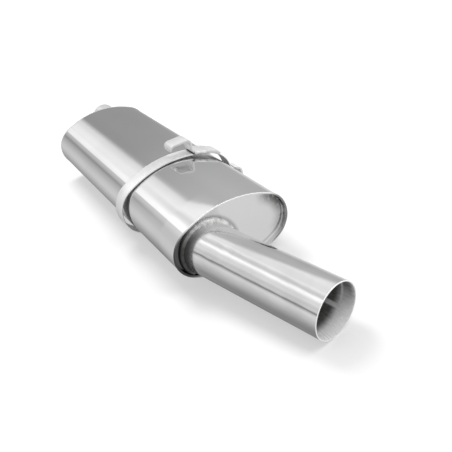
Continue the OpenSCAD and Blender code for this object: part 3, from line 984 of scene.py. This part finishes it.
@dataclass
class Assembly:
    """What the sub-assemblies share: the frame's nodes, the finishes and the tree."""

    nodes: dict[str, bpy.types.Object]
    kit: Kit
    ripples: bpy.types.NodeTree

    def dress(self, look: Look, *nodes: str) -> None:
        """Gives CAD nodes their finish.

        Args:
            look: the finish.
            nodes: the CAD nodes' names.
        """
        for node in nodes:
            mesh = self.nodes[node].data
            mesh.materials.clear()
            mesh.materials.append(self.kit.made[look])
            LOG.info("dressed %s in %s", node, look.value)

    def keep(self, piece: bpy.types.Object, look: Look, slot: Look) -> None:
        """Finishes a new piece: material and body.

        Args:
            piece: the new piece.
            look: its finish, where it has no material yet.
            slot: not used.
        """
        if not piece.data.materials:
            piece.data.materials.append(self.kit.made[look])
        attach(piece, "root")
        LOG.info("made %s with %d faces", piece.name, len(piece.data.polygons))

    def ripple(self, name: str, bead: Bead, place: Triple, look: Look, seed: int) -> None:
        """Lays a bead's lumps as a piece of their own.

        Args:
            name: the new piece's name.
            bead: the row of lumps.
            place: the middle of its arc.
            look: its finish.
            seed: the seed of the lumps' sizes.
        """
        piece = grow(name, self.ripples, Radius=bead.arc_r, Start=math.radians(bead.start),
                     Sweep=math.radians(bead.sweep), Count=bead.count,
                     Lump_Width=bead.width, Lump_Height=bead.width,
                     Lump_Length=bead.length, Uneven=bead.uneven, Seed=seed, Turn=ROUND_X,
                     Place=place, Material=self.kit.made[look])
        self.keep(piece, look, Look.WELD)


@dataclass
class Body(Assembly):
    """The polished oval shell with its caps, rims and long seam."""

    def build(self) -> None:
        """Dresses the shell's pieces."""
        self.dress(Look.POLISHED, "shell", "front_cap", "rear_cap")
        self.dress(Look.RIM, "front_rim_weld", "rear_rim_weld")
        self.dress(Look.WELD, "shell_seam_weld")


@dataclass
class Pipes(Assembly):
    """The tail pipe and the inlet pipe with their rippled welds.

    The tail pipe's bead leaves out the part of the ring that lies at the cap's flange.
    """

    tail: Tube = Tube(start=-0.0112, end=TAIL_MOUTH, outer=TAIL_R)
    inlet: Tube = Tube(start=0.0, end=0.1527, outer=INLET_R)
    tail_bead: Bead = Bead(arc_r=TAIL_R + 0.0013, start=-28.0, sweep=248.0, count=58,
                           width=1.05 * TAIL_BEAD_R, length=0.0032, uneven=0.10)
    inlet_bead: Bead = Bead(arc_r=INLET_R + 0.001, start=0.0, sweep=360.0, count=46,
                            width=1.03 * INLET_BEAD_R, length=0.0026, uneven=0.12)

    def skin(self, node: str, look: Look, tube: Tube, origin: Vector, axis: Vector) -> None:
        """Replaces a pipe by one turned smoothly, with a rounded lip.

        Args:
            node: the CAD node's name.
            look: its finish.
            tube: its section.
            origin: the point that the section is measured from.
            axis: the pipe's direction.
        """
        piece = lathe(node + "_turned", tube.profile(), origin, axis)
        piece.data.materials.append(self.kit.made[look])
        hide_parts(node)
        self.keep(piece, look, Look.POLISHED)

    def build(self) -> None:
        """Turns the pipes and lays the ripples of both beads."""
        self.skin("tail_pipe", Look.TAIL, self.tail, Vector(TAIL_ROOT), self.kit.tail_axis)
        self.skin("inlet_pipe", Look.PLAIN, self.inlet, Vector((self.inlet.end, 0.0, 0.0)),
                  Vector((-1.0, 0.0, 0.0)))
        self.dress(Look.DARK_WELD, "tail_pipe_weld")
        self.dress(Look.WELD, "inlet_pipe_weld")
        self.ripple("tail_weld_ripples", self.tail_bead, TAIL_ROOT, Look.DARK_WELD, SEED)
        self.ripple("inlet_weld_ripples", self.inlet_bead, (REAR_RIM_X + PLATE_IN, 0.0, 0.0),
                    Look.WELD, SEED + 1)


@dataclass
class HangerStrap(Assembly):
    """The loose strap with its two hooks and their lumpy welds."""

    edge: float = 0.0005
    edge_steps: int = 3
    edge_angle: float = 40.0
    flat_angle: float = 0.6
    weld_gap: float = 2e-6
    back_x: float = 0.429
    front_x: float = 0.455
    top_bead: Bead = Bead(arc_r=STRAP_ARC_R + 0.002, start=69.4, sweep=7.2, count=15,
                          width=0.0027, length=0.0021, uneven=0.32)
    side_bead: Bead = Bead(arc_r=STRAP_ARC_R + 0.002, start=-68.9, sweep=7.2, count=15,
                           width=0.0027, length=0.0021, uneven=0.32)

    def rounded(self, node: str, look: Look) -> None:
        """Replaces a CAD node by a copy of it with softened edges.

        Args:
            node: the CAD node's name.
            look: its finish.
        """
        mesh = self.nodes[node].data.copy()
        mesh.name = node + "_soft_edged"
        form = bmesh.new()
        form.from_mesh(mesh)
        bmesh.ops.remove_doubles(form, verts=form.verts, dist=self.weld_gap)
        bmesh.ops.dissolve_limit(form, angle_limit=math.radians(self.flat_angle),
                                 verts=form.verts, edges=form.edges)
        for face in form.faces:
            face.smooth = True
        form.to_mesh(mesh)
        form.free()
        mesh.materials.clear()
        piece = add_object(node + "_soft_edged", mesh)
        bevel = piece.modifiers.new("soft_edges", "BEVEL")
        bevel.width = self.edge
        bevel.segments = self.edge_steps
        bevel.limit_method = "ANGLE"
        bevel.angle_limit = math.radians(self.edge_angle)
        bevel.harden_normals = True
        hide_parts(node)
        self.keep(piece, look, look)

    def build(self) -> None:
        """Softens the edges of the flat bars and lays the lumps along the hooks' feet."""
        for node in ("strap", "top_hook", "side_hook"):
            self.rounded(node, Look.BRUSHED)
        self.dress(Look.WELD, "strap_tack_welds", "top_hook_weld", "side_hook_weld")
        for index, x in enumerate((self.back_x, self.front_x)):
            for name, bead, (y, z), seed in (("top", self.top_bead, STRAP_TOP, SEED + 2),
                                             ("side", self.side_bead, STRAP_UNDER, SEED + 4)):
                self.ripple("%s_foot_weld_%d" % (name, index), bead, (x, BODY_Y + y, z),
                            Look.WELD, seed + index)


@dataclass
class Inside(Assembly):
    """The hidden core, packing and baffles."""

    def build(self) -> None:
        """Dresses the hidden pieces."""
        self.dress(Look.BRUSHED, "core_tube", "core_sleeve", "front_baffle", "rear_baffle")
        self.dress(Look.WOOL, "wool_packing")


# Studio


@dataclass(frozen=True)
class Ring:
    """A ring of light round the X axis: directions in degrees and their levels."""

    name: str
    levels: tuple[tuple[float, float], ...]

    def ramp(self, tree: Tree, share: Socket, top: float) -> Socket:
        """Adds the ring as a colour ramp.

        Args:
            tree: the world's tree.
            share: the direction round X, from 0 to 1.
            top: the level that becomes 1.

        Returns:
            The ramp's colour socket.
        """
        ramp = tree.node("ShaderNodeValToRGB", {0: share}, label=self.name)
        stops = ramp.color_ramp.elements
        while len(stops) > 1:
            stops.remove(stops[-1])
        first = self.levels[0][1]
        stops[0].position = 0.0
        stops[0].color = (*grey(first / top), 1.0)
        for turn, level in (*self.levels[1:], (360.0, first)):
            stops.new(turn / 360.0).color = (*grey(level / top), 1.0)
        return ramp.outputs[0]


@dataclass(frozen=True)
class Lamp:
    """A large soft lamp that the steel doesn't mirror; its place is from its target."""

    name: str
    target: Triple
    place: Triple
    size: float
    power: float

    def build(self) -> None:
        """Adds the lamp."""
        data = bpy.data.lights.new(self.name, "AREA")
        data.size = self.size
        data.energy = self.power
        lamp = add_object(self.name, data)
        lamp.location = Vector(self.target) + Vector(self.place)
        lamp.rotation_euler = (-Vector(self.place)).to_track_quat("-Z", "Y").to_euler()
        lamp.visible_camera = False
        lamp.visible_glossy = False


@dataclass
class Studio:
    """Pale floor, soft lamps and the rings of light that the steel mirrors."""

    floor_size: float = 30.0
    floor_color: float = 0.52
    glow_middle: Triple = (0.45, -0.04, FLOOR_Z)
    glow: Fade = Fade(0.40, 1.10, 0.36, 0.66)
    ambient: float = 0.80
    top: float = 1.5
    front_level: float = 0.77
    far_to_middle: Fade = Fade(-0.91, -0.79)
    middle_to_near: Fade = Fade(-0.645, -0.585)
    near_to_front: Fade = Fade(0.0, 0.5)
    lamps: tuple[Lamp, ...] = (
        Lamp("key", target=(0.42, -0.04, 0.0), place=(-0.90, 0.02, 1.72), size=0.8,
             power=22.0),
        Lamp("fill", target=(0.82, -0.02, -0.02), place=(0.50, 0.45, 1.45), size=0.7,
             power=8.0))
    far: Ring = Ring("far_ring", (
        (0, 0.35), (30, 0.35), (60, 0.36), (82, 0.34), (87, 0.84), (93, 0.90), (98, 1.00),
        (103, 1.05), (107, 1.00), (110, 1.10), (113, 1.12), (117, 0.64), (124, 0.64),
        (133, 0.48), (143, 0.30), (150, 0.42), (163, 0.52), (183, 0.65), (202, 0.69),
        (222, 0.58), (241, 0.45), (261, 0.34), (280, 0.36), (320, 0.50), (350, 0.37)))
    middle: Ring = Ring("middle_ring", (
        (0, 0.48), (20, 0.50), (40, 0.54), (60, 0.53), (78, 0.56), (82, 0.66), (86, 0.92),
        (93, 1.03), (98, 1.08), (103, 0.80), (107, 0.94), (112, 1.45), (117, 0.92),
        (124, 0.80), (143, 0.64), (163, 0.65), (183, 0.70), (202, 0.68), (222, 0.51),
        (241, 0.35), (261, 0.27), (282, 0.20), (310, 0.55), (328, 0.78), (347, 0.64)))
    near: Ring = Ring("near_ring", (
        (0, 0.90), (50, 0.90), (66, 0.98), (78, 0.92), (95, 0.92), (101, 1.03), (106, 0.86),
        (111, 0.72), (116, 0.73), (119, 0.84), (122, 1.12), (126, 1.27), (130, 1.15),
        (134, 0.92), (140, 0.82), (146, 0.86), (151, 0.72), (157, 0.66), (162, 0.74),
        (166, 0.60), (170, 0.19), (173, 0.42), (178, 0.74), (183, 0.80), (197, 0.64),
        (210, 0.50), (223, 0.37), (237, 0.29), (268, 0.26), (310, 0.50)))

    def build(self) -> None:
        """Builds the world, the floor and the lamps."""
        self.world()
        self.floor()
        for lamp in self.lamps:
            lamp.build()

    def world(self) -> None:
        """White for the camera, plain for diffuse light, rings for gloss."""
        world = bpy.data.worlds.new("studio")
        world.use_nodes = True
        bpy.context.scene.world = world
        world.node_tree.nodes.clear()
        tree = Tree(world.node_tree)
        x, y, z = tree.split(tree.coordinates("Generated"))
        share = tree.math("FRACT", tree.math("DIVIDE", tree.math("ARCTAN2", z, y), 2 * math.pi))
        far, middle, near = (ring.ramp(tree, share, self.top)
                             for ring in (self.far, self.middle, self.near))
        rings = tree.blend(tree.fade(x, self.far_to_middle), far, middle)
        rings = tree.blend(tree.fade(x, self.middle_to_near), rings, near)
        rings = tree.blend(tree.fade(x, self.near_to_front), rings,
                           grey(self.front_level / self.top))
        gloss, plain, white = (
            tree.node("ShaderNodeBackground", {0: color, 1: level}).outputs[0]
            for color, level in ((rings, self.top), ((*WHITE, 1.0), self.ambient),
                                 ((*WHITE, 1.0), 1.0)))
        light = tree.node("ShaderNodeLightPath").outputs
        first = tree.node("ShaderNodeMixShader", {0: light["Is Glossy Ray"], 1: plain, 2: gloss})
        second = tree.node("ShaderNodeMixShader", {
            0: light["Is Camera Ray"], 1: first.outputs[0], 2: white})
        tree.node("ShaderNodeOutputWorld", {0: second.outputs[0]})

    def floor(self) -> None:
        """A plain pale floor that keeps the object's shadow."""
        half = self.floor_size / 2
        mesh = bpy.data.meshes.new("studio_floor")
        mesh.from_pydata([(x * half, y * half, FLOOR_Z)
                          for x, y in ((-1, -1), (1, -1), (1, 1), (-1, 1))], [], [(0, 1, 2, 3)])
        floor = add_object("studio_floor", mesh)
        material = bpy.data.materials.new("studio_floor")
        material.use_nodes = True
        tree = Tree(material.node_tree)
        away = tree.vector("DISTANCE", tree.coordinates(), self.glow_middle)
        seen = tree.node("ShaderNodeLightPath").outputs["Is Camera Ray"]
        tree.fill(material.node_tree.nodes["Principled BSDF"], {
            "Base Color": (*grey(self.floor_color), 1.0), "Roughness": 1.0,
            "Specular IOR Level": 0.0, "Emission Color": (*WHITE, 1.0),
            "Emission Strength": tree.times(seen, tree.fade(away, self.glow))})
        mesh.materials.append(material)
        floor.visible_glossy = False


@dataclass(frozen=True)
class PhotoCamera:
    """The camera at the photograph's place, turn and focal length."""

    place: Triple = (1.28344, -0.33001, 0.45252)
    azimuth: float = 66.847
    elevation: float = 31.2105
    roll: float = -12.9834
    lens: float = 50.33
    sensor: float = 36.0
    clip_end: float = 100.0

    def build(self) -> None:
        """Adds the camera and makes it the scene's."""
        az, el, ro = (math.radians(a) for a in (self.azimuth, self.elevation, self.roll))
        back = Vector((math.sin(az) * math.cos(el), -math.cos(az) * math.cos(el), math.sin(el)))
        right = Vector((math.cos(az), math.sin(az), 0.0))
        up = back.cross(right)
        rolled = math.cos(ro) * right + math.sin(ro) * up
        lifted = math.cos(ro) * up - math.sin(ro) * right
        data = bpy.data.cameras.new("photo_camera")
        data.sensor_width = self.sensor
        data.lens = self.lens
        data.clip_end = self.clip_end
        camera = add_object("photo_camera", data)
        turn = Matrix((rolled, lifted, back)).transposed().to_4x4()
        camera.matrix_world = Matrix.Translation(self.place) @ turn
        bpy.context.scene.camera = camera


def main() -> None:
    """Builds the object's looks, the studio and the camera."""
    logging.basicConfig(level=logging.INFO, format="%(name)s: %(message)s")
    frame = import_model()
    turn, fall = math.radians(TAIL_TURN), math.radians(TAIL_FALL)
    kit = Kit(Vector((math.cos(fall) * math.cos(turn), math.cos(fall) * math.sin(turn),
                      -math.sin(fall))))
    ripples = ripple_tree()
    for kind in (Body, Pipes, HangerStrap, Inside):
        kind(frame["nodes"], kit, ripples).build()
    Studio().build()
    PhotoCamera().build()
    bpy.context.scene.view_settings.view_transform = "Standard"


if __name__ == "__main__":
    main()
